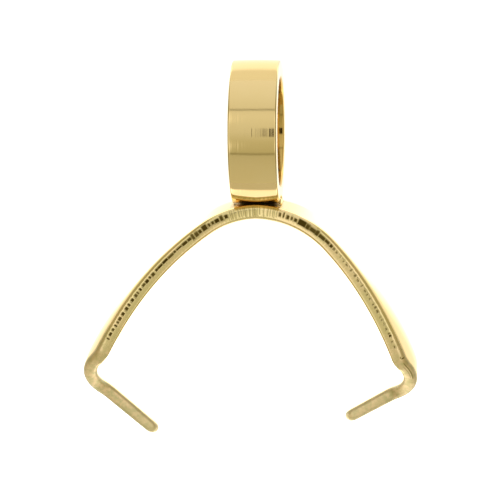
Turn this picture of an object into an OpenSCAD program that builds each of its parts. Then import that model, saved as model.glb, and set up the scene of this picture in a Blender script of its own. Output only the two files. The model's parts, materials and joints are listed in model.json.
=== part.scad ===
// Pinch bail: a short slice of tube welded on top of a clip that is bent from one stamped blank.
// The blank has a narrow waist under the ring, two domed leaves that widen to a shoulder, a
// taper that runs round a sharp bend, and a blunt prong on each end.
// The clip is shaped upright, with X along the ring's axis, Y up towards the ring and Z across
// the sheet. The whole bail is then laid on its side, resting on the ring and on the shoulders.

/* [Ring] */
// Outer diameter of the ring
ring_d = 6; // [5:0.1:8]
// Thickness of the ring's wall
ring_wall = 0.7; // [0.4:0.05:1]
// Length of the slice of tube that makes the ring
ring_len = 2; // [1.4:0.05:2.6]
// Bevel on the rims of the ring
ring_bevel = 0.06; // [0.02:0.01:0.12]
// Depth that the weld presses the ring into the clip
weld_sink = 0.06; // [0.03:0.01:0.12]
// Diameter of the main weld bead under each rim
bead_d = 0.38; // [0.32:0.02:0.5]
// Diameter of the small weld bead beside it
small_bead_d = 0.3; // [0.24:0.02:0.36]
// Distance between the two beads of a rim
bead_gap = 0.66; // [0.5:0.02:0.7]

/* [Blank] */
// Thickness of the sheet
sheet_t = 0.6; // [0.4:0.05:0.8]
// Width of the waist under the ring
waist_w = 2.1; // [1.8:0.1:3]
// Width of a leaf at its shoulder
leaf_w = 3.9; // [3.4:0.1:4.6]
// Width of a prong
prong_w = 0.72; // [0.56:0.02:1]
// Length of the taper from the shoulder to the root of the prong
taper_len = 2.3; // [1.6:0.1:3]
// Roundness of the leaf's edges from waist to shoulder, where 1 is straight
leaf_curve = 1.6; // [1:0.1:2]
// Roundness of the taper's edges, where 1 is straight
taper_curve = 1.5; // [1:0.1:2]
// Length of the left side from the ring to the root of its prong
root_left = 11.4; // [10:0.1:12]
// Length of the right side from the ring to the root of its prong
root_right = 11.4; // [10:0.1:12]
// Length of the left prong
prong_left = 2.9; // [1.6:0.1:3.6]
// Length of the right prong
prong_right = 2.4; // [1.6:0.1:3.6]
// Thickness pressed off the inner face at the root of a prong
press_root = 0.02; // [0:0.01:0.1]
// Thickness pressed off the inner face at the tip of a prong
press_tip = 0.08; // [0:0.01:0.2]
// Distance of the left prong from the middle of its leaf, across the sheet
offset_left = 0; // [-0.6:0.1:0.6]
// Distance of the right prong from the middle of its leaf, across the sheet
offset_right = -0.5; // [-0.6:0.1:0.6]
// Height of the dome pressed into each leaf
dome_h = 0.34; // [0.05:0.01:0.45]
// Radius of the tumbled edges of the leaves
edge_r = 0.12; // [0.05:0.01:0.18]
// Radius of the edges of a prong
prong_edge_r = 0.12; // [0.05:0.01:0.2]

/* [Bends] */
// Inner radius of the arch on the left side of the ring
arch_r_left = 3.5; // [3:0.1:5]
// Inner radius of the arch on the right side of the ring
arch_r_right = 4.2; // [3:0.1:5]
// Angle of the arch on the left side
arch_left = 32.5; // [28:0.5:50]
// Angle of the arch on the right side
arch_right = 44; // [28:0.5:50]
// Inner radius of the slight bow that each leaf keeps
bow_r = 13; // [10:1:40]
// Inner radius of the bend between leaf and prong
bend_r = 1; // [0.4:0.1:1.4]
// Angle of the bend on the left side
bend_left = 75; // [60:1:90]
// Angle of the bend on the right side
bend_right = 81; // [60:1:90]

/* [Hidden] */
$fn = 96;
bead_sides = 24;
gold = "#e2c27c";

ring_r = ring_d / 2;
bore_r = ring_r - ring_wall;
ring_y = ring_r - weld_sink;

half_t = sheet_t / 2;
bow_mid_r = bow_r + half_t;
bend_mid_r = bend_r + half_t;

// Length of the rounded tip, and the shares of width and thickness that its blunt end keeps
tip_round = prong_w / 2;
tip_width = 0.3;
tip_thickness = 0.8;

// Steps along each arch, leaf, taper, bend, prong and rounded tip
arch_steps = 9;
leaf_steps = 9;
taper_steps = 4;
bend_steps = 8;
prong_steps = 2;
tip_steps = 4;
// Steps across each face of the sheet, and round each of its edges
face_steps = 8;
edge_steps = 2;

// Each side of the clip as a row of its own values
SIGN = 0;
ROOT = 1;
PRONG = 2;
ARCH = 3;
BEND = 4;
OFFSET = 5;
ARCH_R = 6;
left = [-1, root_left, prong_left, arch_left, bend_left, offset_left, arch_r_left];
right = [1, root_right, prong_right, arch_right, bend_right, offset_right, arch_r_right];

function arc_len(r, a) = r * a * PI / 180;

// Lengths along the sheet, from the ring, at which each stretch of a side ends
function arch_mid_r(side) = side[ARCH_R] + half_t;
function arch_end(side) = arc_len(arch_mid_r(side), side[ARCH]);
function shoulder(side) = side[ROOT] - taper_len;
function bend_start(side) = side[ROOT] - arc_len(bend_mid_r, side[BEND]);
function tip_start(side) = side[ROOT] + side[PRONG] - tip_round;

// The point [x, y, heading] reached from p by an arc of radius r and length l.
// The heading is in degrees below the X axis.
function along_arc(p, r, l) = let (a = l / arc_len(r, 1)) [
    p.x + r * (sin(p.z + a) - sin(p.z)),
    p.y - r * (cos(p.z) - cos(p.z + a)),
    p.z + a
];

// The middle of the bent sheet at length s from the ring, as [x, y, heading]
function sheet_at(side, s) =
    let (
        on_arch = min(s, arch_end(side)),
        on_leaf = max(0, min(s, bend_start(side)) - arch_end(side)),
        on_bend = max(0, min(s, side[ROOT]) - bend_start(side)),
        on_prong = max(0, s - side[ROOT]),
        a = along_arc([0, -half_t, 0], arch_mid_r(side), on_arch),
        b = along_arc(a, bow_mid_r, on_leaf),
        c = along_arc(b, bend_mid_r, on_bend)
    )
    [c.x + on_prong * cos(c.z), c.y - on_prong * sin(c.z), c.z];

// How full the rounded tip still is at length s, from 1 where it starts to 0 at its end
function tip_share(side, s) =
    let (u = max(0, s - tip_start(side)) / tip_round)
    sqrt(max(0, 1 - u * u));

// How far the leaf has narrowed to the prong at length s, from 0 at the shoulder to 1 at the root
function narrowed(side, s) =
    pow(max(0, min(1, (s - shoulder(side)) / taper_len)), taper_curve);

function half_width(side, s) =
    let (
        up = min(1, s / shoulder(side)),
        leaf = waist_w + (leaf_w - waist_w) * (1 - pow(1 - up, leaf_curve)),
        body = leaf - (leaf_w - prong_w) * narrowed(side, s)
    )
    body / 2 * (tip_width + (1 - tip_width) * tip_share(side, s));

// Thickness pressed off the inner face at length s
function pressed(side, s) =
    let (
        round_bend = max(0, min(1, (s - bend_start(side)) / (side[ROOT] - bend_start(side)))),
        down_prong = max(0, min(1, (s - side[ROOT]) / side[PRONG]))
    )
    press_root * round_bend + (press_tip - press_root) * down_prong;

function half_thickness(side, s) =
    (sheet_t - pressed(side, s)) / 2 * (tip_thickness + (1 - tip_thickness) * tip_share(side, s));

// Height of the dome where the sheet is 2 w wide: it fades out towards the waist and the prong
function dome_at(w) = dome_h * pow(max(0, (2 * w - waist_w) / (leaf_w - waist_w)), 2);

// Half of the cross-section's outline as [height above the middle, place across]:
// the outer face and the two rounded corners at the end of it
function half_section(w, t, r) = concat(
    [for (i = [0 : face_steps]) [t, (w - r) * (2 * i / face_steps - 1)]],
    [for (i = [1 : edge_steps], a = 90 * i / edge_steps) [t - r + r * cos(a), w - r + r * sin(a)]],
    [for (i = [edge_steps : -1 : 1], a = 90 * i / edge_steps) [r - t - r * cos(a), w - r + r * sin(a)]]
);

// The cross-section's whole outline. The other half is the first one turned half round,
// and the dome lowers each point by how far across it lies.
function section(w, t, r, dome) =
    let (
        half = half_section(w, t, min(r, 0.8 * w, 0.8 * t)),
        flat = concat(half, -half)
    )
    [for (p = flat) [p.x - dome * pow(p.y / w, 2), p.y]];

// The cross-section at length s, placed on the bent sheet
function placed(side, s) =
    let (
        m = sheet_at(side, s),
        w = half_width(side, s),
        share = narrowed(side, s),
        r = edge_r + (prong_edge_r - edge_r) * share,
        lift = pressed(side, s) / 2,
        x = m.x + lift * sin(m.z),
        y = m.y + lift * cos(m.z)
    )
    [
        for (p = section(w, half_thickness(side, s), r, dome_at(w)))
            [side[SIGN] * (x + p.x * sin(m.z)), y + p.x * cos(m.z), p.y + side[OFFSET] * share]
    ];

// Lengths of a side's cross-sections, from the first step beside the ring to the tip
function stretch(from, to, steps) = [for (i = [1 : steps]) from + (to - from) * i / steps];
function lengths(side) = concat(
    stretch(0, arch_end(side), arch_steps),
    stretch(arch_end(side), shoulder(side), leaf_steps),
    stretch(shoulder(side), bend_start(side), taper_steps),
    stretch(bend_start(side), side[ROOT], bend_steps),
    stretch(side[ROOT], tip_start(side), prong_steps),
    [for (i = [1 : tip_steps]) tip_start(side) + tip_round * sin(90 * i / tip_steps)]
);

// All cross-sections in one row, from the left tip over the arch to the right tip
left_side = [for (s = lengths(left)) placed(left, s)];
right_side = [for (s = lengths(right)) placed(right, s)];
count = len(left_side);
sections = concat([for (i = [count - 1 : -1 : 0]) left_side[i]], [placed(right, 0)], right_side);
around = len(sections[0]);
points = [for (ring_of_points = sections, p = ring_of_points) p];

// Tilt of the bail when its ring and the lowest points of the clip touch the surface below
function touching_tilt(p) =
    let (
        away = ring_y - p.y,
        reach = norm([away, p.z])
    )
    reach > ring_r ? asin(ring_r / reach) - atan2(-p.z, away) : 90;
lay_tilt = min([for (p = points) if (p.z < 0) touching_tilt(p)]);

// Reach of the laid bail along X and Y, whose middle is the origin
clip_x = [for (p = points) p.x];
clip_y = [for (p = points) p.y * cos(lay_tilt) - p.z * sin(lay_tilt)];
middle_x = (min(clip_x) + max(clip_x)) / 2;
middle_y = (min(clip_y) + ring_y * cos(lay_tilt) + ring_r) / 2;

// Slice of tube with bevelled rims, its axis along X
module ring() {
    half = ring_len / 2;
    b = ring_bevel;
    color(gold)
        translate([0, ring_y, 0])
            rotate([0, 90, 0])
                rotate_extrude()
                    polygon([
                        [bore_r, b - half],
                        [bore_r + b, -half],
                        [ring_r - b, -half],
                        [ring_r, b - half],
                        [ring_r, half - b],
                        [ring_r - b, half],
                        [bore_r + b, half],
                        [bore_r, half - b]
                    ]);
}

// Faces of the sheet's two ends, each a row of quads between its outer and its inner edge
function mate(j) = 2 * (face_steps + edge_steps) + 1 - j;
function cap(first) = [
    for (j = [-edge_steps : face_steps + edge_steps - 1])
        [for (k = [j, j + 1, mate(j + 1), mate(j)]) first + (k + around) % around]
];

// Faces between cross-section i and the next one
function skin(i) = [
    for (j = [0 : around - 1])
        let (
            k = (j + 1) % around,
            a = i * around,
            b = a + around
        )
        each [[a + j, b + j, b + k], [a + j, b + k, a + k]]
];

// Bent sheet: waist, leaves, bends and prongs
module clip() {
    last = len(sections) - 1;
    color(gold)
        polyhedron(
            points = points,
            faces = concat(
                cap(0),
                [for (i = [0 : last - 1]) each skin(i)],
                [for (f = cap(last * around)) [f[3], f[2], f[1], f[0]]]
            )
        );
}

// Round bead of weld metal, its poles turned away from the rim that it sits on
module bead(d) {
    rotate([90, 0, 30])
        sphere(d = d, $fn = bead_sides);
}

// Weld beads on both rims, where the ring meets the arch
module weld_beads() {
    color(gold)
        for (end = [-1, 1]) {
            translate([end * ring_len / 2, ring_y - ring_r, 0])
                bead(bead_d);
            translate([
                end * ring_len / 2,
                ring_y - sqrt(ring_r * ring_r - bead_gap * bead_gap),
                end * bead_gap
            ])
                bead(small_bead_d);
        }
}

// The welded bail, laid on its side
module bail() {
    translate([-middle_x, -middle_y, ring_r - ring_y * sin(lay_tilt)])
        rotate([lay_tilt, 0, 0])
            union() {
                ring();
                clip();
                weld_beads();
            }
}

bail();
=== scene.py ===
import json
import math

import bpy
import numpy as np
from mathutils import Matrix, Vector


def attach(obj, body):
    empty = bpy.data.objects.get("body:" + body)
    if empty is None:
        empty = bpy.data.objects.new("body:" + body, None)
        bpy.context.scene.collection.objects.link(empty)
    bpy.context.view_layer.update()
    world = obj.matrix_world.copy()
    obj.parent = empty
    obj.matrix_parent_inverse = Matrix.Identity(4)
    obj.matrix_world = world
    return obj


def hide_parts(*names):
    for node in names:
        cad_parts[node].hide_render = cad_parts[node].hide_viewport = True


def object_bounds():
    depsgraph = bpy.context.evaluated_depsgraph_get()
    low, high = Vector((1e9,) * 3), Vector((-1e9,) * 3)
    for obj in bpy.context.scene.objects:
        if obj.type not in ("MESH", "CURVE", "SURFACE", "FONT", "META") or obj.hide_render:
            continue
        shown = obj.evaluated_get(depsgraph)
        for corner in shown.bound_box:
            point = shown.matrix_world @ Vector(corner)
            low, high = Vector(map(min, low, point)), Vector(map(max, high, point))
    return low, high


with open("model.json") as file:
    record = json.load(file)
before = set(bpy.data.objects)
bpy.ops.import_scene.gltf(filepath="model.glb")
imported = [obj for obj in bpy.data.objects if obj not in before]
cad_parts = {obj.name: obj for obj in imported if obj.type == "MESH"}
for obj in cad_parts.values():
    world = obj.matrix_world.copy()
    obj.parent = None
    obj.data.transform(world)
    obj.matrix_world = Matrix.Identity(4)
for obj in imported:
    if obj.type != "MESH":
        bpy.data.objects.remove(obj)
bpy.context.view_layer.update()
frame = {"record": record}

MM = 0.001

# Driving sizes of the bail, in millimetres, except for the curves, which are powers, and the shares
RING_D = 6.0
RING_WALL = 0.7
RING_LEN = 2.0
RIM_ROUND = 0.08
RING_BARREL = 0.02
WELD_SINK = 0.06
SHEET_T = 0.6
WAIST_W = 2.1
LEAF_W = 3.9
PRONG_W = 0.72
TAPER_LEN = 2.3
LEAF_CURVE = 1.6
TAPER_CURVE = 1.5
ROOT_BLEND = 0.25
DOME_H = 0.34
PRESS_ROOT = 0.02
PRESS_TIP = 0.08
OUTER_EDGE_ROUND = 0.19
INNER_EDGE_ROUND = 0.12
PRONG_EDGE_ROUND = 0.18
EDGE_CROWN = 0.025
END_ROUND = 0.04
BOW_R = 13.0
BEND_R = 1.0
TIP_WIDTH_SHARE = 0.3
TIP_THICKNESS_SHARE = 0.5

# Marks of the tool at the right bend: a dot on the leaf, a pit in the form of a comma, three grooves
# that run on from it and a broad rubbed patch. Each row gives the middle, half length, height on the
# edge, half height and strength.
BEND_MARKS = [
    (8.0, 0.05, 0.07, 0.05, 1.0),
    (9.05, 0.035, 0.13, 0.03, 0.85),
    (9.11, 0.04, 0.21, 0.055, 1.0),
    (9.72, 0.46, 0.20, 0.018, 0.8),
    (9.78, 0.44, 0.11, 0.016, 0.7),
    (9.85, 0.36, 0.02, 0.016, 0.6),
    (10.7, 0.9, 0.0, 0.4, 0.22),
]

# Shear marks of the stamping on an edge: how far along the leaf each kind reaches, as a share,
# then the marks' usual length, height and strength, and the gap between them, in millimetres
LEFT_SHEAR = (
    (0.12, 0.035, 0.42, 0.45, 0.05),
    (0.31, 0.17, 0.22, 1.0, 0.035),
    (0.37, 0.20, 0.15, 1.0, 0.03),
    (0.52, 0.22, 0.09, 1.0, 0.02),
    (0.94, 0.13, 0.13, 1.0, 0.07),
)
RIGHT_SHEAR = (
    (0.10, 0.035, 0.42, 0.45, 0.05),
    (0.19, 0.12, 0.19, 0.95, 0.06),
    (0.31, 0.26, 0.20, 1.0, 0.01),
    (0.38, 0.17, 0.11, 1.0, 0.03),
    (0.93, 0.09, 0.08, 0.72, 0.11),
)

# Each side of the clip: its direction along X, its lengths to the prong's root and of the prong,
# the inner radius of its arch, the angles of arch and bend in degrees, and how far its prong lies
# off the leaf's middle
LEFT = dict(sign=-1, root=11.4, prong=2.9, arch_r=3.5, arch=32.5, bend=75, offset=0.0)
RIGHT = dict(sign=1, root=11.4, prong=2.4, arch_r=4.2, arch=44, bend=81, offset=-0.5)
LEFT["tool_marks"], RIGHT["tool_marks"] = [], BEND_MARKS
LEFT["shear_marks"], RIGHT["shear_marks"] = LEFT_SHEAR, RIGHT_SHEAR

HALF_T = SHEET_T / 2
RING_R = RING_D / 2
RING_Y = RING_R - WELD_SINK
BOW_MID_R = BOW_R + HALF_T
BEND_MID_R = BEND_R + HALF_T
TIP_ROUND = PRONG_W / 2

# Where the CAD model's bore lies, which is the middle of the ring
BORE = next(m for m in frame["record"]["mounts"] if m["name"] == "ring_bore")
BORE_AT = np.array(BORE["pos_m"]) / MM

SEED = 7
rng = np.random.default_rng(SEED)


def along_arc(start, radius, length):
    """The point (x, y, heading) reached from start by an arc. The heading is in radians below +X."""
    x, y, heading = start
    turned = heading + length / radius
    return (
        x + radius * (math.sin(turned) - math.sin(heading)),
        y - radius * (math.cos(heading) - math.cos(turned)),
        turned,
    )


def arch_mid_r(side):
    return side["arch_r"] + HALF_T


def stretches(side):
    """Lengths from the ring at which each stretch of a side ends."""
    return dict(
        arch=arch_mid_r(side) * math.radians(side["arch"]),
        shoulder=side["root"] - TAPER_LEN,
        leaf=side["root"] - BEND_MID_R * math.radians(side["bend"]),
        bend=side["root"],
        prong=side["root"] + side["prong"] - TIP_ROUND,
        tip=side["root"] + side["prong"],
    )


def sheet_at(side, s):
    """The middle of the sheet at length s from the ring, as (x, y, heading)."""
    ends = stretches(side)
    on_arch = min(s, ends["arch"])
    on_leaf = max(0.0, min(s, ends["leaf"]) - ends["arch"])
    on_bend = max(0.0, min(s, ends["bend"]) - ends["leaf"])
    on_prong = max(0.0, s - ends["bend"])
    p = along_arc((0.0, -HALF_T, 0.0), arch_mid_r(side), on_arch)
    p = along_arc(p, BOW_MID_R, on_leaf)
    x, y, heading = along_arc(p, BEND_MID_R, on_bend)
    return x + on_prong * math.cos(heading), y - on_prong * math.sin(heading), heading


def tip_share(side, s):
    """How full the rounded tip still is, from 1 where it starts to 0 at its end."""
    u = min(1.0, max(0.0, s - stretches(side)["prong"]) / TIP_ROUND)
    return math.sqrt(1 - u * u)


def share_of(s, start, end):
    return min(1.0, max(0.0, (s - start) / (end - start)))


def narrowed(side, s):
    """How far the leaf has narrowed to the prong, from 0 at the shoulder to 1 past the root."""
    taper = max(0.0, 1 + (s - side["root"]) / TAPER_LEN) ** TAPER_CURVE
    blend = max(0.0, 1 - abs(taper - 1) / ROOT_BLEND)
    return min(taper, 1) - ROOT_BLEND / 4 * blend**2


def half_width(side, s):
    up = share_of(s, 0.0, stretches(side)["shoulder"])
    leaf = WAIST_W + (LEAF_W - WAIST_W) * (1 - (1 - up) ** LEAF_CURVE)
    body = leaf - (LEAF_W - PRONG_W) * narrowed(side, s)
    return body / 2 * (TIP_WIDTH_SHARE + (1 - TIP_WIDTH_SHARE) * tip_share(side, s))


def pressed(side, s):
    """Thickness pressed off the inner face."""
    ends = stretches(side)
    round_bend = share_of(s, ends["leaf"], ends["bend"])
    return PRESS_ROOT * round_bend + (PRESS_TIP - PRESS_ROOT) * share_of(s, ends["bend"], ends["tip"])


def half_thickness(side, s):
    tip = TIP_THICKNESS_SHARE + (1 - TIP_THICKNESS_SHARE) * tip_share(side, s)
    return (SHEET_T - pressed(side, s)) / 2 * tip


def dome_at(w):
    """Height of the dome where the sheet is 2 w wide."""
    return DOME_H * max(0.0, (2 * w - WAIST_W) / (LEAF_W - WAIST_W)) ** 2


# Points of half a cross-section: over a face, round a corner and down an edge
FACE_STEPS = 22
CORNER_STEPS = 5
EDGE_STEPS = 12
HALF_AROUND = FACE_STEPS + 2 * CORNER_STEPS + EDGE_STEPS
# Marks and tool lines reach onto a corner where it faces as the edge does by more than this share
ON_EDGE = 0.8
# A corner's radius is at most this share of half the width and of half the thickness
CORNER_MOST = 0.8


def half_outline(w, t, first_r, second_r):
    """A face, then a corner, edge and corner, as the height, place across and share on the edge."""
    turn = np.linspace(0, math.pi / 2, CORNER_STEPS, endpoint=False)
    face = np.linspace(first_r - w, w - first_r, FACE_STEPS, endpoint=False)
    drop = np.linspace(t - first_r, second_r - t, EDGE_STEPS, endpoint=False)
    first_height, first_across = t - first_r * (1 - np.cos(turn)), w - first_r * (1 - np.sin(turn))
    second_height, second_across = second_r * (1 - np.sin(turn)) - t, w - second_r * (1 - np.cos(turn))
    height = np.concatenate([np.full(FACE_STEPS, t), first_height, drop, second_height])
    across = np.concatenate([face, first_across, np.full(EDGE_STEPS, w), second_across])
    facing = np.concatenate([np.zeros(FACE_STEPS), np.sin(turn), np.ones(EDGE_STEPS), np.cos(turn)])
    return height, across * (1 - EDGE_CROWN / w * (height / t) ** 2), facing


# Depth of the marks, height of their row on the edge and how far single marks stray from it, in
# millimetres, and how softly a mark ends, as a share of its half length and half height
MARK_DEPTH = 0.016
MARK_HEIGHT = 0.066
MARK_WANDER = 0.01
MARK_SOFTNESS = 0.13

# Where the first mark starts, and between which shares of the usual numbers single marks lie
FIRST_MARK = 0.05
LENGTH_SPREAD = (0.5, 1.5)
HEIGHT_SPREAD = (0.75, 1.2)
STRENGTH_SPREAD = (0.84, 1)
GAP_SPREAD = (0.6, 1.7)


def shear_marks(side):
    """The marks along one edge of a side: middle, half length, height, half height and strength."""
    shoulder = stretches(side)["shoulder"]
    rows, s = [], FIRST_MARK
    while s < side["shear_marks"][-1][0] * shoulder:
        kind = next(k for k in side["shear_marks"] if s < k[0] * shoulder)
        length, tall, strength, gap = kind[1:]
        length *= rng.uniform(*LENGTH_SPREAD)
        tall *= rng.uniform(*HEIGHT_SPREAD)
        strength *= rng.uniform(*STRENGTH_SPREAD)
        at = MARK_HEIGHT + rng.uniform(-1, 1) * MARK_WANDER
        rows.append((s + length / 2, length / 2, at, tall / 2, strength))
        s += length + gap * rng.uniform(*GAP_SPREAD)
    return rows


def mark_strength(rows, s, height):
    """How strong the marks are, from 0 to 1, at length s and at each height on the edge."""
    middle, half_length, at, half_height, strength = rows.T
    a = np.abs(s - middle) / half_length
    b = np.abs(height[:, None] - at) / half_height
    inside = np.clip((1 + MARK_SOFTNESS - np.maximum(a[None, :], b)) / (2 * MARK_SOFTNESS), 0, 1)
    return (inside * strength).max(axis=1)


def section(side, s, marks, grow=0.0, inset=0.0):
    """A cross-section in the clip's own frame: its points, and the strength of the marks there."""
    x, y, heading = sheet_at(side, s)
    w, t = half_width(side, s) - inset, half_thickness(side, s) - inset
    share = narrowed(side, s)
    outer_r, inner_r = (
        min(r + (PRONG_EDGE_ROUND - r) * share, CORNER_MOST * min(w, t))
        for r in (OUTER_EDGE_ROUND, INNER_EDGE_ROUND)
    )
    near = half_outline(w, t, outer_r, inner_r)
    far = half_outline(w, t, inner_r, outer_r)
    strength = [
        np.where(near[2] > ON_EDGE, mark_strength(marks[0], s, near[0]), 0),
        np.where(far[2] > ON_EDGE, mark_strength(marks[1], s, -far[0]), 0),
    ]
    height = np.concatenate([near[0], -far[0]])
    across = np.concatenate([near[1] - MARK_DEPTH * strength[0], MARK_DEPTH * strength[1] - far[1]])
    height = height - dome_at(w + inset) * (across / w) ** 2 + pressed(side, s) / 2
    across = across + side["offset"] * share
    x += grow * math.cos(heading)
    y -= grow * math.sin(heading)
    points = np.stack([
        side["sign"] * (x + height * math.sin(heading)),
        y + height * math.cos(heading),
        across,
    ], axis=1)
    return points, np.concatenate(strength)


# Longest step between cross-sections on the leaf, the taper, the bend and the prong, and the
# number of cross-sections on the rounded tip and on the rounding of its end
LEAF_STEP = 0.034
TAPER_STEP = 0.06
BEND_STEP = 0.035
PRONG_STEP = 0.12
TIP_STEPS = 10
END_STEPS = 4


def steps(start, end, longest):
    count = max(2, math.ceil((end - start) / longest))
    return [start + (end - start) * (i + 1) / count for i in range(count)]


def side_sections(side):
    """All cross-sections of a side from the first one beside the ring, as (points, marks, length)."""
    ends = stretches(side)
    marks = [np.array(shear_marks(side) + side["tool_marks"]), np.array(shear_marks(side))]
    lengths = steps(0.0, ends["shoulder"], LEAF_STEP)
    lengths += steps(ends["shoulder"], ends["leaf"], TAPER_STEP)
    lengths += steps(ends["leaf"], ends["bend"], BEND_STEP)
    lengths += steps(ends["bend"], ends["prong"], PRONG_STEP)
    turns = [math.pi / 2 * (i + 1) / TIP_STEPS for i in range(TIP_STEPS)]
    lengths += [ends["prong"] + TIP_ROUND * math.sin(turn) for turn in turns]
    found = [(*section(side, s, marks), s) for s in lengths]
    for i in range(END_STEPS):
        a = math.pi / 2 * (i + 1) / END_STEPS
        grow, inset = END_ROUND * math.sin(a), END_ROUND * (1 - math.cos(a))
        found.append((*section(side, ends["tip"], marks, grow, inset), ends["tip"]))
    return marks, found


def touching_tilt(points):
    """The tilt at which the ring and the lowest point of the clip touch the surface below."""
    low = points[points[:, 2] < 0]
    away = RING_Y - low[:, 1]
    reach = np.maximum(np.hypot(away, low[:, 2]), RING_R)
    return float(np.min(np.arcsin(RING_R / reach) - np.arctan2(-low[:, 2], away)))


def lay(points, tilt):
    """Points of the clip's own frame as they lie in the row's frame, in metres."""
    c, s = math.cos(tilt), math.sin(tilt)
    up = points[:, 1] - RING_Y
    turned = np.stack([points[:, 0], up * c - points[:, 2] * s, up * s + points[:, 2] * c], axis=1)
    return turned * MM + BORE_AT * MM


def make_piece(name, points, faces, **values):
    """A smooth closed mesh with named numbers on its points."""
    mesh = bpy.data.meshes.new(name)
    mesh.from_pydata(points.tolist(), [], faces)
    mesh.shade_smooth()
    for key, numbers in values.items():
        column = mesh.attributes.new(key, "FLOAT", "POINT")
        column.data.foreach_set("value", np.asarray(numbers, dtype=np.float32))
    piece = bpy.data.objects.new(name, mesh)
    bpy.context.scene.collection.objects.link(piece)
    return piece


def skin(rows, around):
    """Quads between each row of points and the next."""
    faces = []
    for i in range(rows - 1):
        for j in range(around):
            k = (j + 1) % around
            a, b = i * around, (i + 1) * around
            faces.append((a + j, b + j, b + k, a + k))
    return faces


# How far before the shoulder the dulled edge starts, how it rises and how fast it ends on corners
DULL_BEFORE = 1.2
DULL_RISE = 0.65
DULL_CORNERS = 2.2

# How dull the solder is and how strong the painted shade of the crevice under the ring is there, and how
# far it spreads beside the ring and up the ring
SOLDER_DULLNESS = 0.7
SOLDER_SHADE = 0.1
SOLDER_WIDE = 0.06
SOLDER_HIGH = 0.12


def worked(place):
    """How much bending and pressing dulled the cut edge, from 0 on a leaf to 1 on a prong."""
    side = RIGHT if place > 0 else LEFT
    ends = stretches(side)
    return share_of(abs(place), ends["shoulder"] - DULL_BEFORE, ends["bend"]) ** DULL_RISE


def paled(place):
    """How much the pressing paled the metal, from 0 before the bend to 1 at the prong's tip."""
    ends = stretches(RIGHT if place > 0 else LEFT)
    return share_of(abs(place), ends["leaf"], ends["prong"])


def soldered(place):
    """How much solder lies on the clip's outer face, from 1 under the ring to 0 beside it."""
    return 1 - share_of(abs(place), RING_LEN / 2, RING_LEN / 2 + SOLDER_WIDE)


def make_clip():
    marks, right = side_sections(RIGHT)
    left = side_sections(LEFT)[1]
    middle = (*section(RIGHT, 0.0, marks), 0.0)
    rows = [(p, m, -s) for p, m, s in reversed(left)] + [middle] + right
    around = 2 * HALF_AROUND
    middles = [rows[0][0].mean(axis=0), rows[-1][0].mean(axis=0)]
    points = np.concatenate([row[0] for row in rows] + [np.array(middles)])
    faces = skin(len(rows), around)
    first_end, last_end = len(points) - 2, len(points) - 1
    last = (len(rows) - 1) * around
    for j in range(around):
        k = (j + 1) % around
        faces.append((first_end, j, k))
        faces.append((last_end, last + k, last + j))
    tilt = touching_tilt(points)
    facing = np.tile(half_outline(1.0, HALF_T, OUTER_EDGE_ROUND, INNER_EDGE_ROUND)[2], 2)
    edge_share = np.minimum(1, DULL_CORNERS * facing)
    outer_face = np.arange(around) < FACE_STEPS

    def column(round_section, along_clip=lambda place: 1, at_ends=(0, 0)):
        """A number for each point: a share round the section times one that goes along the clip."""
        return np.concatenate([round_section * along_clip(row[2]) for row in rows] + [at_ends])

    marks = np.concatenate([row[1] for row in rows] + [(0, 0)])
    solder = column(outer_face, soldered)
    values = dict(
        # The marks' strength, which the shader turns into painted dark reflection, and the painted shade
        # of the crevice laid on the solder under the ring
        mark=np.maximum(marks, SOLDER_SHADE * solder),
        along=column(np.ones(around), lambda place: place, (rows[0][2], rows[-1][2])),
        tooled=column(facing > ON_EDGE),
        dull=np.maximum(column(edge_share, worked, (1, 1)), SOLDER_DULLNESS * solder),
        cut=column(edge_share, at_ends=(1, 1)),
        # Painted shade on the corners of the worked bends and prongs
        rim=column(np.sin(math.pi * facing), worked),
        pale=column(np.ones(around), paled, (1, 1)),
    )
    return make_piece("clip", lay(points, tilt), faces, **values), tilt


RING_SIDES = 256
RIM_STEPS = 6
WALL_STEPS = 16

# How strong the turning lines are on the ring's outside beside those on a cut edge, and how dull
# its ends are, from 0 to 1
RING_TOOLING = 1.0
END_DULLNESS = 0.1
# How strong the painted shade on the ring's outer rims is beside that on the corners of a prong, and how
# far in from its ends it reaches
RING_RIM_SHADE = 0.8
RING_RIM_SHADE_WIDE = 0.7 * RIM_ROUND


def tube_profile():
    """The section of the ring's wall with rounded rims, as (radius, place along the bore)."""
    half, r = RING_LEN / 2 - RIM_ROUND, RIM_ROUND
    outer, inner = RING_R - RING_BARREL - r, RING_R - RING_WALL + r
    rows = []
    corners = ((outer, half, 0), (inner, half, 90), (inner, -half, 180), (outer, -half, 270))
    for radius, place, start in corners:
        for i in range(RIM_STEPS + 1):
            a = math.radians(start + 90 * i / RIM_STEPS)
            rows.append((radius + r * math.cos(a), place + r * math.sin(a)))
    for i in range(1, WALL_STEPS):
        across = 2 * i / WALL_STEPS - 1
        rows.append((RING_R - RING_BARREL * across**2, half * across))
    return rows


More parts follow.
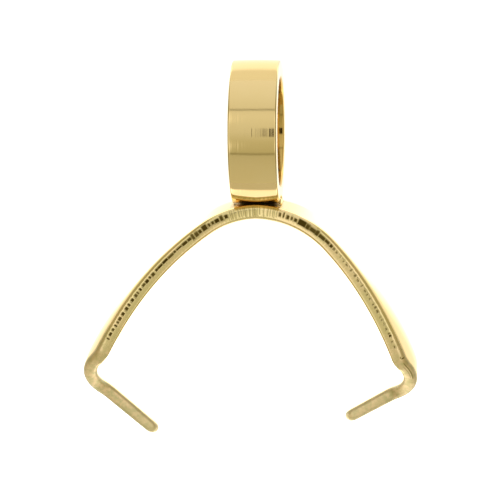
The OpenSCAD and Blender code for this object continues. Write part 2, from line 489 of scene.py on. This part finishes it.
def make_ring(tilt):
    profile = tube_profile()
    rows = []
    for i in range(RING_SIDES):
        a = 2 * math.pi * i / RING_SIDES
        c, s = math.cos(a), math.sin(a)
        rows += [(place, RING_Y + radius * c, radius * s) for radius, place in profile]
    n = len(profile)
    faces = []
    for i in range(RING_SIDES):
        for j in range(n):
            k = (j + 1) % n
            a, b = i * n, (i + 1) % RING_SIDES * n
            faces.append((a + j, a + k, b + k, b + j))
    radius, place = np.array(profile).T
    outside = radius > RING_R - RING_BARREL - RIM_ROUND
    tooled = np.where(outside, RING_TOOLING, 0)
    bore = radius < RING_R - RING_WALL + RIM_ROUND
    dull = np.where(bore | outside, 0, END_DULLNESS)
    points = np.array(rows)
    above = points[:, 1] - (RING_Y - RING_R)
    solder = np.clip(1 - above / SOLDER_HIGH, 0, 1)
    # Painted shade along the ring's outer rims
    rim = np.where(outside & (abs(place) > RING_LEN / 2 - RING_RIM_SHADE_WIDE), RING_RIM_SHADE, 0)
    values = dict(along=place, tooled=tooled, dull=dull, bore=bore, rim=rim)
    values = {key: np.tile(numbers, RING_SIDES) for key, numbers in values.items()}
    values["dull"] = np.maximum(values["dull"], SOLDER_DULLNESS * solder)
    return make_piece("ring", lay(points, tilt), faces, **values)


# Drops of weld metal on each rim: how far above the ring's lowest line, how far along the rim,
# how high and wide each drop is, and how far it stands out
DROPS = (
    (0.13, 0.06, 0.19, 0.08),
    (0.09, 0.72, 0.15, 0.07),
)
DROP_STEPS = 10
DROP_SIDES = 28
# How far a drop's outline strays from a circle in two and in three bulges, and how those turn
OVAL = 0.06
OVAL_TURN = 5
THREE_SIDED = 0.04
THREE_SIDED_TURN = 1
# How dull a drop is and how strong its painted shade of the crevice at the rim is, and how much of both
# the drops on the left and right rim have
DROP_DULLNESS = 0.15
DROP_SHADE = 0.55
LEFT_DROP = 1.0
RIGHT_DROP = 0.25


def make_drop(name, middle, radius, proud, outwards, tilt):
    """A flattened drop of metal on a rim, its far side closed inside the ring."""
    rows = []
    for i in range(1, DROP_STEPS):
        b = math.pi * i / DROP_STEPS
        for j in range(DROP_SIDES):
            a = 2 * math.pi * j / DROP_SIDES
            oval = OVAL * math.sin(2 * a + middle[2] * OVAL_TURN)
            three_sided = THREE_SIDED * math.sin(3 * a + THREE_SIDED_TURN)
            wide = radius * (1 + oval + three_sided)
            rows.append((
                middle[0] + outwards * proud * math.cos(b),
                middle[1] + wide * math.sin(b) * math.cos(a),
                middle[2] + wide * math.sin(b) * math.sin(a),
            ))
    poles = [(middle[0] + end * outwards * proud, *middle[1:]) for end in (1, -1)]
    points = np.array(rows + poles)
    faces = skin(DROP_STEPS - 1, DROP_SIDES)
    near, far = len(points) - 2, len(points) - 1
    last = (DROP_STEPS - 2) * DROP_SIDES
    for j in range(DROP_SIDES):
        k = (j + 1) % DROP_SIDES
        faces.append((near, j, k))
        faces.append((far, last + k, last + j))
    if outwards < 0:
        faces = [f[::-1] for f in faces]
    share = LEFT_DROP if outwards < 0 else RIGHT_DROP
    # Dullness of the weld metal, and painted shade of the crevice where the drops sit, stronger on the
    # left
    dull, mark = (np.full(len(points), share * most) for most in (DROP_DULLNESS, DROP_SHADE))
    return make_piece(name, lay(points, tilt), faces, dull=dull, mark=mark)


def make_weld(tilt):
    drops = []
    for end in (-1, 1):
        for i, (above, along, radius, proud) in enumerate(DROPS):
            y = RING_Y - math.sqrt(RING_R**2 - along**2) + above
            middle = (end * RING_LEN / 2, y, end * along)
            name = f"weld_drop_{'right' if end > 0 else 'left'}_{i + 1}"
            drops.append(make_drop(name, middle, radius, proud, end, tilt))
    return drops


def add_node(tree, kind, **settings):
    """A shader node with its settings, where a key of the form in_Name sets that input."""
    node = tree.nodes.new(kind)
    for key, value in settings.items():
        if key.startswith("in_"):
            node.inputs[key[3:].replace("_", " ")].default_value = value
        else:
            setattr(node, key, value)
    return node


def math_node(tree, operation, *values):
    node = tree.nodes.new("ShaderNodeMath")
    node.operation = operation
    for socket, value in zip(node.inputs, values):
        if isinstance(value, (int, float)):
            socket.default_value = value
        else:
            tree.links.new(value, socket)
    return node.outputs[0]


def map_range(tree, value, low, high, to_low=0.0, to_high=1.0):
    """A smooth step of value from low to high."""
    node = add_node(tree, "ShaderNodeMapRange", interpolation_type="SMOOTHSTEP", clamp=True)
    tree.links.new(value, node.inputs["Value"])
    for name, number in (("From Min", low), ("From Max", high), ("To Min", to_low), ("To Max", to_high)):
        node.inputs[name].default_value = number
    return node.outputs["Result"]


def mix_node(tree, share, first, second):
    """A colour between first and second, each a colour or a socket."""
    node = add_node(tree, "ShaderNodeMix", data_type="RGBA")
    for key, value in (("Factor", share), ("A", first), ("B", second)):
        if isinstance(value, tuple):
            node.inputs[key].default_value = (*value, 1)
        else:
            tree.links.new(value, node.inputs[key])
    return node.outputs["Result"]


# Tones of the plating: polished, on a fresh cut edge, the painted shade inside the bore, on worked
# metal, the painted shade on its rims, on the pressed prongs, and the painted dark reflection at the
# brim and in the middle of a mark, which at the weld is painted shade
GOLD = (0.88, 0.69, 0.345)
GOLD_WARM = (0.86, 0.645, 0.285)
CUT_PALE = (0.96, 0.76, 0.42)
CUT_GREEN = (0.84, 0.72, 0.36)
BORE_SHADE = (0.62, 0.42, 0.13)
WORKED_GREEN = (0.60, 0.54, 0.25)
WORKED_TAN = (0.98, 0.74, 0.44)
RIM_SHADE_TONE = (0.29, 0.28, 0.18)
PRESSED_PALE = (1.0, 0.86, 0.54)
PAINTED_DARK_OLIVE = (0.30, 0.22, 0.04)
PAINTED_DARK_BROWN = (0.07, 0.045, 0.007)

# How much of their tone cut edges and pressed prongs take on at most, and how strong the painted shade
# on rims is
CUT_PALENESS = 0.7
RIM_SHADE_STRENGTH = 0.72
PRESSED_PALENESS = 0.5

# Roughness of the best polish, and what patches, marks, dull places and cut edges add to it
LEAST_ROUGH = 0.045
PATCH_ROUGH = 0.05
MARK_ROUGH = 0.3
DULL_ROUGH = 0.32
CUT_ROUGH = 0.08

# Noise of each kind: its scale for a millimetre, its detail and its roughness
GOLD_NOISE = (0.55, 3.0, 0.5)
CUT_NOISE = (1.1, 2.0, 0.5)
WORKED_NOISE = (3.4, 5.0, 0.65)
PATCH_NOISE = (3.0, 4.0, 0.5)
WAVE_NOISE = (0.8, 1.0, 0.5)
SCRATCH_NOISE = (3.5, 2.0, 0.5)
DENT_NOISE = (2.6, 2.0, 0.5)
# The part of a noise's range over which one tone turns to the other
CUT_RANGE = (0.4, 0.6)
WORKED_RANGE = (0.36, 0.64)
# How the scratches are turned, in radians, and drawn together across their length
SCRATCH_TURN = (0.3, 0.2, 0.6)
SCRATCH_SQUEEZE = (1, 8, 1)
# Scale and detail of the tool lines
LINE_SCALE = 8.0
LINE_DETAIL = 4.0

# Depths in millimetres of the surface's waves, scratches, tool marks and dents
WAVE_DEPTH = 0.0035
SCRATCH_DEPTH = 0.0004
TOOL_DEPTH = 0.006
DENT_DEPTH = 0.022


def gold_metal():
    """Polished gold-tone plating: soft colour variation, tumbling scratches and shear marks, with
    painted dark reflection in the marks and painted shade in the bore, on rims and at the weld.
    """
    material = bpy.data.materials.new("gold_tone_metal")
    material.use_nodes = True
    tree = material.node_tree
    link = tree.links.new
    shader = tree.nodes["Principled BSDF"]
    shader.inputs["Metallic"].default_value = 1.0
    place = add_node(tree, "ShaderNodeTexCoord").outputs["Object"]
    in_mm = add_node(tree, "ShaderNodeMapping", in_Scale=(1 / MM, 1 / MM, 1 / MM))
    link(place, in_mm.inputs["Vector"])
    mm = in_mm.outputs["Vector"]

    def noise(kind, source=mm):
        scale, detail, roughness = kind
        settings = dict(in_Scale=scale, in_Detail=detail, in_Roughness=roughness)
        node = add_node(tree, "ShaderNodeTexNoise", **settings)
        link(source, node.inputs["Vector"])
        return node.outputs["Fac"]

    def value(name):
        return add_node(tree, "ShaderNodeAttribute", attribute_name=name).outputs["Fac"]

    def times(first, second):
        return math_node(tree, "MULTIPLY", first, second)

    mark, tooled, along, dull, cut, rim, bore, pale = (
        value(name) for name in ("mark", "tooled", "along", "dull", "cut", "rim", "bore", "pale")
    )

    polished = mix_node(tree, noise(GOLD_NOISE), GOLD, GOLD_WARM)
    fresh = mix_node(tree, map_range(tree, noise(CUT_NOISE), *CUT_RANGE), CUT_PALE, CUT_GREEN)
    polished = mix_node(tree, times(cut, CUT_PALENESS), polished, fresh)
    # The inside of the bore is darkened as painted shade
    polished = mix_node(tree, bore, polished, BORE_SHADE)
    mottling = map_range(tree, noise(WORKED_NOISE), *WORKED_RANGE)
    matt = mix_node(tree, mottling, WORKED_GREEN, WORKED_TAN)
    matt = mix_node(tree, times(pale, PRESSED_PALENESS), matt, PRESSED_PALE)
    tone = mix_node(tree, dull, polished, matt)
    # Corners of worked metal and the ring's outer rims darkened as painted shade
    tone = mix_node(tree, times(rim, RIM_SHADE_STRENGTH), tone, RIM_SHADE_TONE)
    # Shear and tool marks darken towards olive, then brown, as painted dark reflection; on the solder
    # and the weld drops the same darkening is painted shade of the crevice
    tone = mix_node(tree, mark, tone, PAINTED_DARK_OLIVE)
    link(mix_node(tree, times(mark, mark), tone, PAINTED_DARK_BROWN), shader.inputs["Base Color"])

    rough = LEAST_ROUGH
    parts = ((noise(PATCH_NOISE), PATCH_ROUGH), (mark, MARK_ROUGH), (dull, DULL_ROUGH), (cut, CUT_ROUGH))
    for share, most in parts:
        rough = math_node(tree, "ADD", times(share, most), rough)
    link(rough, shader.inputs["Roughness"])

    scratched = add_node(tree, "ShaderNodeMapping", in_Rotation=SCRATCH_TURN, in_Scale=SCRATCH_SQUEEZE)
    link(mm, scratched.inputs["Vector"])
    settings = dict(noise_dimensions="1D", in_Scale=LINE_SCALE, in_Detail=LINE_DETAIL)
    lines = add_node(tree, "ShaderNodeTexNoise", **settings)
    link(along, lines.inputs["W"])
    layers = (
        (noise(WAVE_NOISE), WAVE_DEPTH),
        (noise(SCRATCH_NOISE, scratched.outputs["Vector"]), SCRATCH_DEPTH),
        (times(lines.outputs["Fac"], tooled), TOOL_DEPTH),
        (times(noise(DENT_NOISE), dull), DENT_DEPTH),
    )
    normal = None
    for height, depth in layers:
        bump = add_node(tree, "ShaderNodeBump", in_Distance=depth * MM, in_Strength=1.0)
        link(height, bump.inputs["Height"])
        if normal:
            link(normal, bump.inputs["Normal"])
        normal = bump.outputs["Normal"]
    link(normal, shader.inputs["Normal"])
    return material


# The photo's viewing angle to the upright bail in degrees, and the camera's distance in millimetres
VIEW_AZIMUTH = 4.4
VIEW_ELEVATION = 10.5
VIEW_DISTANCE = 102.0
# Share of the picture that the bail fills, the sensor's width in millimetres, and the nearest and
# farthest place that the camera sees, in metres
FRAME_FILL = 0.76
SENSOR_W = 36.0
CLIP_START = 0.001
CLIP_END = 2.0


def view_direction(tilt):
    """From the bail to the camera, in the row's frame."""
    a, e = math.radians(VIEW_AZIMUTH), math.radians(VIEW_ELEVATION)
    x, y, z = math.sin(a) * math.cos(e), math.sin(e), math.cos(a) * math.cos(e)
    c, s = math.cos(tilt), math.sin(tilt)
    return Vector((x, y * c - z * s, y * s + z * c))


def view_axes(direction):
    """The picture's own directions to the right and up, in the row's frame."""
    side = Vector((0, 1, 0)).cross(direction).normalized()
    return side, direction.cross(side)


def make_camera(direction, low, high):
    middle = (low + high) / 2
    data = bpy.data.cameras.new("camera")
    camera = bpy.data.objects.new("camera", data)
    bpy.context.scene.collection.objects.link(camera)
    camera.location = middle + direction * VIEW_DISTANCE * MM
    turned = camera.matrix_world.to_3x3()
    turned.col[0], turned.col[1] = view_axes(direction)
    turned.col[2] = direction
    camera.rotation_mode = "QUATERNION"
    camera.rotation_quaternion = turned.to_quaternion()
    data.sensor_width = SENSOR_W
    data.lens = SENSOR_W * VIEW_DISTANCE * MM / ((high.y - low.y) / FRAME_FILL)
    data.clip_start, data.clip_end = CLIP_START, CLIP_END
    bpy.context.scene.camera = camera


# The floor's width in metres, its tone and its roughness
FLOOR_SIZE = 1.2
FLOOR_WHITE = (0.93, 0.93, 0.925)
FLOOR_ROUGHNESS = 0.9

# The lit pad under the bail, from its corner near the prongs to the one past the ring, and how far
# out it fades, in metres. PAD_GLOW is its glow in the middle and at the sides, PAD_SIDES how far
# from the middle line the one turns to the other, and PAD_FALL how far out the glow falls to the
# share PAD_FALLEN. FAR_GLOW is the floor's glow beyond the pad, past the prongs and past the ring.
PAD = ((-0.0116, -0.0113), (0.0116, 0.0134))
PAD_EDGE = 0.005
PAD_GLOW = (0.75, 1.9)
PAD_SIDES = (0.0015, 0.0045)
PAD_FALL = (0.0063, 0.0088)
PAD_FALLEN = 0.34
FAR_GLOW = (0.0, 0.34)
GLOW_WHITE = (0.93, 0.94, 0.97)


def make_floor():
    """A white floor with a lit pad where the bail lies."""
    half = FLOOR_SIZE / 2
    corners = [(-half, -half, 0.0), (half, -half, 0.0), (half, half, 0.0), (-half, half, 0.0)]
    floor = make_piece("floor", np.array(corners), [(0, 1, 2, 3)])
    material = bpy.data.materials.new("pale_floor")
    material.use_nodes = True
    tree = material.node_tree
    shader = tree.nodes["Principled BSDF"]
    shader.inputs["Base Color"].default_value = (*FLOOR_WHITE, 1)
    shader.inputs["Roughness"].default_value = FLOOR_ROUGHNESS
    shader.inputs["Specular IOR Level"].default_value = 0.0
    shader.inputs["Emission Color"].default_value = (*GLOW_WHITE, 1)
    split = add_node(tree, "ShaderNodeSeparateXYZ")
    tree.links.new(add_node(tree, "ShaderNodeTexCoord").outputs["Object"], split.inputs["Vector"])
    glow = map_range(tree, split.outputs["Y"], PAD[0][1], PAD[1][1], *FAR_GLOW)
    inside = 1.0
    for socket, low, high in zip(split.outputs, *PAD):
        for edge, out in ((low, low - PAD_EDGE), (high, high + PAD_EDGE)):
            inside = math_node(tree, "MULTIPLY", map_range(tree, socket, out, edge), inside)
    beyond = math_node(tree, "MULTIPLY", glow, math_node(tree, "SUBTRACT", 1.0, inside))
    off_middle = math_node(tree, "ABSOLUTE", split.outputs["X"])
    rise = map_range(tree, off_middle, *PAD_SIDES, *PAD_GLOW)
    fall = map_range(tree, off_middle, *PAD_FALL, 1.0, PAD_FALLEN)
    pad_glow = math_node(tree, "MULTIPLY", rise, fall)
    glow = math_node(tree, "MULTIPLY_ADD", inside, pad_glow, beyond)
    tree.links.new(glow, shader.inputs["Emission Strength"])
    floor.data.materials.append(material)


# Light of the tent by the angle from straight up, in degrees towards the ring, each with how warm
# its tint is. Two thin dark rows are the seams of the tent.
TENT = (
    (-90, 0.64, 0.45),
    (-55, 0.60, 0.50),
    (-38, 0.56, 0.55),
    (-35, 0.32, 0.90),
    (-32, 0.54, 0.70),
    (-16, 0.60, 0.60),
    (0, 0.74, 0.30),
    (25, 0.84, 0.20),
    (33.5, 0.82, 0.20),
    (36, 0.38, 0.40),
    (38.5, 0.80, 0.20),
    (60, 0.88, 0.10),
    (90, 0.95, 0.0),
)
WARM = (1.0, 0.95, 0.55)
WHITE = (1.0, 0.995, 0.98)

# Tones of the bright panels on both sides, of the dark gap under them and of the camera's lens
PANEL = (1.15, 1.13, 1.06)
GAP = (0.46, 0.41, 0.26)
LENS = (0.05, 0.04, 0.02)
# Where the panels begin and are full, in degrees from straight up, where the gap begins and is
# full, in degrees above the floor, and how far to the side both begin and are full, as a share
PANEL_FROM = (16.0, 30.0)
GAP_FROM = (54.0, 46.0)
SIDE_SHARE = (0.35, 0.6)
# How far from its middle the lens's darkness ends and is full, sideways and upwards, and how far
# that middle lies below the camera's direction, in degrees
LENS_WIDE = (5.2, 2.4)
LENS_TALL = (8.0, 5.0)
LENS_LOWER = 4.4


def make_studio(direction):
    """A light tent: seamed cloth above, bright panels on both sides and a dark gap under them."""
    world = bpy.data.worlds.new("studio")
    bpy.context.scene.world = world
    world.use_nodes = True
    tree = world.node_tree
    link = tree.links.new
    where = add_node(tree, "ShaderNodeTexCoord").outputs["Generated"]
    unit = add_node(tree, "ShaderNodeVectorMath", operation="NORMALIZE")
    link(where, unit.inputs[0])
    split = add_node(tree, "ShaderNodeSeparateXYZ")
    link(unit.outputs["Vector"], split.inputs["Vector"])
    x, y, z = split.outputs

    def degrees(operation, *parts):
        return math_node(tree, "MULTIPLY", math_node(tree, operation, *parts), 180 / math.pi)

    north = degrees("ARCTAN2", y, z)
    ramp = add_node(tree, "ShaderNodeValToRGB")
    stops = ramp.color_ramp.elements
    while len(stops) < len(TENT):
        stops.new(0.5)
    for stop, (angle, level, warmth) in zip(stops, TENT):
        stop.position = (angle + 90) / 180
        stop.color = (*(level * (a + (b - a) * warmth) for a, b in zip(WHITE, WARM)), 1)
    link(math_node(tree, "MULTIPLY_ADD", north, 1 / 180, 0.5), ramp.inputs["Fac"])

    squares = math_node(tree, "MULTIPLY_ADD", x, x, math_node(tree, "MULTIPLY", y, y))
    across = math_node(tree, "SQRT", squares)
    sideways = math_node(tree, "DIVIDE", math_node(tree, "ABSOLUTE", x), across)
    to_side = map_range(tree, sideways, *SIDE_SHARE)
    from_top = degrees("ARCCOSINE", z)
    up = degrees("ARCSINE", z)
    panel = math_node(tree, "MULTIPLY", to_side, map_range(tree, from_top, *PANEL_FROM))
    gap = math_node(tree, "MULTIPLY", to_side, map_range(tree, up, *GAP_FROM))
    colour = mix_node(tree, panel, ramp.outputs["Color"], PANEL)
    colour = mix_node(tree, gap, colour, GAP)

    side, upwards = view_axes(direction)
    upwards += direction * math.tan(math.radians(LENS_LOWER))
    # The lens is in the upper half of the tent alone, which the height z stands for
    lens = z
    for axis, angles in ((side, LENS_WIDE), (upwards.normalized(), LENS_TALL)):
        away = add_node(tree, "ShaderNodeVectorMath", operation="DOT_PRODUCT")
        link(unit.outputs["Vector"], away.inputs[0])
        away.inputs[1].default_value = axis
        away = math_node(tree, "ABSOLUTE", away.outputs["Value"])
        ends = (math.sin(math.radians(a)) for a in angles)
        lens = math_node(tree, "MULTIPLY", map_range(tree, away, *ends), lens)
    colour = mix_node(tree, lens, colour, LENS)
    link(colour, tree.nodes["Background"].inputs["Color"])


clip, TILT = make_clip()
ring = make_ring(TILT)
weld = make_weld(TILT)
gold = gold_metal()
for piece in [clip, ring, *weld]:
    piece.data.materials.append(gold)
    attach(piece, "root")
    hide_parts("bail")

DIRECTION = view_direction(TILT)
make_camera(DIRECTION, *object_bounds())
make_floor()
make_studio(DIRECTION)
bpy.context.scene.view_settings.view_transform = "Standard"
